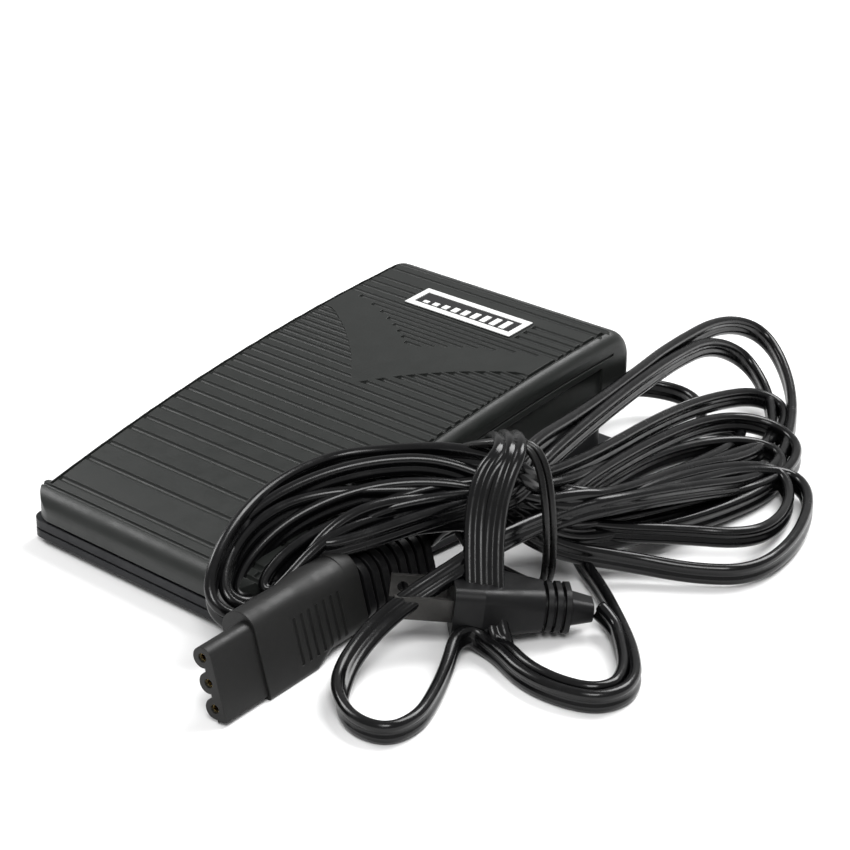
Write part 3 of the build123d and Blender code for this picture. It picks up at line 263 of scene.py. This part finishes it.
FROM_BOOT = [
    (54.0, -16.2, 11.8), (54.5, -9, 13), (62, 2, 18), (74, 10, 24), (84, 14, 25),
]
FAN_A = [
    (90, 26, 20), (91, 55, 16), (88, 86, 9), (95, 101, 5), (108, 92, 4), (121, 66, 4), (124, 43, 4),
    (112, 32, 4), (96, 22, 6), (84, 4, 12),
]
LEFT_C = [
    (76, -8, 24), (66, -18, 30), (56, -30, 31), (43, -42, 30), (37, -54, 28), (36, -67, 23),
    (41, -79, 15), (47, -75, 9), (50, -62, 14), (55, -45, 26), (64, -24, 29), (77, -4, 27),
]
FAN_B = [
    (86, 8, 22), (89, 28, 20), (88, 57, 17), (87, 86, 10), (92, 98, 6), (103, 89, 4), (113, 68, 6),
    (113, 52, 8), (100, 41, 9), (86, 22, 12), (78, 3, 20),
]
LEFT_D = [
    (70, -12, 31), (58, -28, 28), (51, -44, 25), (47, -60, 21), (48, -72, 14), (52, -64, 14),
    (57, -44, 24), (68, -22, 25), (80, -2, 22),
]
FAN_C = [
    (84, 10, 25), (76, 34, 22), (68, 66, 18), (62, 98, 13), (64, 116, 9.5), (74, 123, 6.5),
    (87, 116, 4.6), (95, 92, 5), (90, 63, 7.5), (87, 34, 11), (84, 6, 16),
]
LEFT_F = [
    (76, -8, 32), (60, -16, 37), (47, -28, 36), (38, -42, 33), (33, -58, 28), (34, -73, 20),
    (40, -78, 11), (44, -70, 9), (46, -57, 16), (52, -44, 25), (64, -28, 30), (77, -8, 30),
]
FAN_D = [
    (84, 8, 22), (76, 35, 17), (68, 66, 13), (68, 91, 10), (74, 108, 7), (85, 110, 5), (95, 92, 4),
    (94, 60, 5), (90, 33, 8), (84, 6, 12),
]
LEFT_G = [
    (76, -10, 30), (62, -22, 33), (49, -36, 31), (40, -52, 25), (38, -66, 17), (42, -75, 11),
    (46, -67, 10), (48, -54, 18), (55, -40, 25), (66, -24, 27), (78, -4, 26),
]
TOE_C = [
    (86, 20, 21), (86, 44, 17), (77, 95, 8), (76, 117, 4), (64, 141, 4), (53, 139, 8),
    (54, 112, 14), (61, 78, 20), (73, 35, 26), (79, 4, 31),
]
LEFT_E = [
    (74, -10, 33), (62, -22, 31), (54, -38, 27), (52, -50, 24), (55, -56, 23), (60, -46, 24),
    (70, -22, 28), (78, -2, 29),
]
TOE_D = [
    (80, 16, 26), (74, 34, 22), (64, 68, 14), (54, 96, 8), (52, 115, 4.5), (60, 122, 4),
    (71, 106, 6), (79, 70, 12), (83, 30, 18), (84, 2, 22),
]
SMALL_TOP = [
    (85, -20, 23), (84.5, -31, 21), (82.3, -39, 18), (79.6, -47, 14.6),
]
SMALL_LEFT = [
    (78.4, -56, 11.2), (79.6, -66, 8), (83.4, -76, 5.2),
]
SMALL_LOOP = [
    (91, -85, 3.8), (101, -89.5, FLOOR_Z), (110.5, -87.5, FLOOR_Z), (111.5, -78, FLOOR_Z),
    (106.5, -67, FLOOR_Z), (98.5, -53.5, FLOOR_Z), (92, -43.5, 5.5), (92.5, -38, 5.5),
    (96.5, -37, FLOOR_Z),
]
WIDE_LOOP = [
    (103, -38.5, FLOOR_Z), (115, -43.5, FLOOR_Z), (127, -43.8, FLOOR_Z), (137, -40.5, FLOOR_Z),
    (140, -33, FLOOR_Z), (137.5, -25, FLOOR_Z), (132, -18.5, FLOOR_Z), (124, -11, FLOOR_Z),
    (111, -1, FLOOR_Z), (99, 7, 4), (86, 14, 5), (74, 22, 8), (64, 20, 15), (60, 10, 24),
]
WRAP_1 = [
    (61, 5, 36), (66, 1, 41.5), (76, -7, 46), (81.5, -13.5, 46), (80.5, -20, 41.5), (82, -25, 32),
    (86.5, -30, 22), (91, -34.3, 12.5), (94.5, -36.5, 4.6), (93, -33, 1.7), (84, -24, 1.7),
    (70, -8, 2.6), (60, 3, 12),
]
WRAP_2 = [
    (60.5, 9, 34), (67, 4, 41.5), (78, -5, 46.4), (84, -11.5, 46.2), (85, -17, 41.5), (86, -22, 32),
    (89.8, -27, 22), (94, -31, 12.5), (98, -33.2, 4.6),
]
INNER_LOOP = [
    (102.5, -34.5, FLOOR_Z), (113, -39.4, FLOOR_Z), (124, -40.2, FLOOR_Z), (133, -37.8, FLOOR_Z),
    (136, -32.5, FLOOR_Z), (134.3, -27, FLOOR_Z), (130, -20.5, FLOOR_Z), (122, -12.5, FLOOR_Z),
    (115, -6.5, 4.4), (109.6, -6.4, 6.6),
]

PEDAL_ROUTE = (
    lengths(LEAD_OUT, UP) + lengths(LEFT_A, UP) + lengths(TOE_A, UP) + lengths(LEFT_B, UP)
    + lengths(TOE_B, UP) + lengths(TO_BOOT, UP)
)
MAINS_ROUTE = (
    lengths(FROM_BOOT, UP) + lengths(FAN_A, UP) + lengths(LEFT_C, UP)
    + lengths(FAN_B, UP) + lengths(LEFT_D, UP) + lengths(FAN_C, UP)
    + lengths(LEFT_F, UP) + lengths(FAN_D, UP) + lengths(LEFT_G, UP)
    + lengths(TOE_C, UP) + lengths(LEFT_E, UP) + lengths(TOE_D, UP)
    + lengths(SMALL_TOP, BROAD_ABOVE) + lengths(SMALL_LEFT, BROAD_OUT) + lengths(SMALL_LOOP, UP)
    + lengths(WIDE_LOOP, UP) + lengths(WRAP_1 + WRAP_2, WRAP_AXIS) + lengths(INNER_LOOP, UP)
)


def smooth_line(name, points):
    """Points along the NURBS spline that has these control points."""
    curve = bpy.data.curves.new(name, "CURVE")
    curve.dimensions = "3D"
    curve.resolution_u = 14
    spline = curve.splines.new("NURBS")
    spline.points.add(len(points) - 1)
    for target, point in zip(spline.points, points):
        target.co = (*point, 1.0)
    spline.order_u = 3
    spline.use_endpoint_u = True
    holder = bpy.data.objects.new(name, curve)
    bpy.context.scene.collection.objects.link(holder)
    bpy.context.view_layer.update()
    mesh = bpy.data.meshes.new_from_object(holder.evaluated_get(bpy.context.evaluated_depsgraph_get()))
    line = [v.co.copy() for v in mesh.vertices]
    bpy.data.objects.remove(holder)
    bpy.data.meshes.remove(mesh)
    return line


def twin_section():
    """Outline of the flat cord: two round cores side by side with a valley between."""
    offset = (CORD_W - CORD_T) / 2
    radius = CORD_T / 2
    angles = range(-138, 139, 23)
    right = [(offset + radius * cos(radians(a)), radius * sin(radians(a))) for a in angles]
    left = [(-x, -y) for x, y in right]
    return right + left


PULL = 0.22  # how quickly a cord turns towards the stated width direction
SURE = 1.6


def swept_cord(name, route, body, section, slot):
    """Sweeps a section along a route and keeps its width facing the stated way."""
    line = smooth_line(name + "_line", [p for p, _ in route])
    wides = smooth_line(name + "_wide", [p + w for p, w in route])
    build = bmesh.new()
    rings = []
    across = None
    for i, here in enumerate(line):
        ahead = line[min(i + 1, len(line) - 1)] - line[max(i - 1, 0)]
        tangent = ahead.normalized()
        wish = wides[i] - here
        wish -= tangent * wish.dot(tangent)
        if across is not None:
            carried = (across - tangent * across.dot(tangent)).normalized()
            if wish.dot(carried) < 0:
                wish = -wish
            weight = min(1.0, wish.length * SURE) * PULL
            wish = carried * (1 - weight) + wish.normalized() * weight
        across = wish.normalized()
        normal = tangent.cross(across)
        rings.append([build.verts.new(here + across * x + normal * y) for x, y in section])
    count = len(section)
    for first, second in zip(rings, rings[1:]):
        for k in range(count):
            build.faces.new((first[k], first[(k + 1) % count], second[(k + 1) % count], second[k]))
    build.faces.new(rings[0][::-1])
    build.faces.new(rings[-1])
    bmesh.ops.recalc_face_normals(build, faces=build.faces)
    mesh = bpy.data.meshes.new(name)
    build.to_mesh(mesh)
    build.free()
    mesh.shade_smooth()
    piece = bpy.data.objects.new(name, mesh)
    bpy.context.scene.collection.objects.link(piece)
    dress(piece, slot)
    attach(piece, body)
    return piece, line


pedal_cord, pedal_line = swept_cord("pedal_flex", PEDAL_ROUTE, "base", twin_section(), "cord_black")
mains_cord, mains_line = swept_cord("mains_flex", MAINS_ROUTE, "base", twin_section(), "cord_black")
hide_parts("pedal_cord", "cord_hank")
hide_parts("loop_cord", "plug_cord", "cord_wrap", "cord_hank")


def round_section(radius, count=10):
    """Outline of a round wire."""
    turns = [radians(360 * k / count) for k in range(count)]
    return [(radius * cos(turn), radius * sin(turn)) for turn in turns]


# the thin tie: two turns of wire drawn tight round the bundle's middle
TIE_TURN = [
    (54, -6, 24), (58, -8, 38), (70, -10.5, 44), (78, -9.6, 46.5), (84, -7, 46.6), (88, -6.2, 41),
    (91.4, -7.5, 30), (92, -7.5, 18), (90, -6.5, 6), (80, -4, 3.2), (62, -3, 4), (54, -5, 14),
]
TIE_GAP = Vector((0.6, 2.1, 0))
TIE_R = 1.05 * MM
tie_route = lengths(TIE_TURN + [tuple(Vector(p) + TIE_GAP) for p in TIE_TURN] + [(53.4, -3.6, 25)], UP)
tie_turns, _ = swept_cord("tie_turns", tie_route, "base", round_section(TIE_R), "tie_black")
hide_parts("wire_tie")


# -------------------------------------------------------------------- stage
def make_floor():
    mesh = bpy.data.meshes.new("floor")
    build = bmesh.new()
    bmesh.ops.create_grid(build, x_segments=2, y_segments=2, size=6.0)
    build.to_mesh(mesh)
    build.free()
    floor = bpy.data.objects.new("floor", mesh)
    bpy.context.scene.collection.objects.link(floor)
    m = Nodes("floor")
    m.link(m.mix(m.noise(3.0), (0.90, 0.90, 0.90), (0.92, 0.92, 0.92)), m.shader.inputs["Base Color"])
    m.shader.inputs["Roughness"].default_value = 0.9
    mesh.materials.append(m.material)


def area_light(name, place, aim, size, power):
    data = bpy.data.lights.new(name, "AREA")
    data.energy = power
    data.size = size
    lamp = bpy.data.objects.new(name, data)
    lamp.location = place
    lamp.rotation_euler = (Vector(aim) - Vector(place)).to_track_quat("-Z", "Y").to_euler()
    bpy.context.scene.collection.objects.link(lamp)


def make_light():
    world = bpy.data.worlds.new("studio")
    world.use_nodes = True
    background = world.node_tree.nodes["Background"]
    background.inputs["Color"].default_value = (1, 1, 1, 1)
    background.inputs["Strength"].default_value = 0.42
    bpy.context.scene.world = world
    area_light("key", (0.1, 1.0, 1.3), (0.03, 0.03, 0), 0.9, 26.0)
    area_light("front", (0.9, -0.9, 1.5), (0.05, -0.02, 0), 0.8, 22.0)
    area_light("left", (-1.3, -0.2, 1.0), (0.03, 0, 0), 0.6, 10.0)
    bpy.context.scene.view_settings.view_transform = "Standard"


make_floor()
make_light()
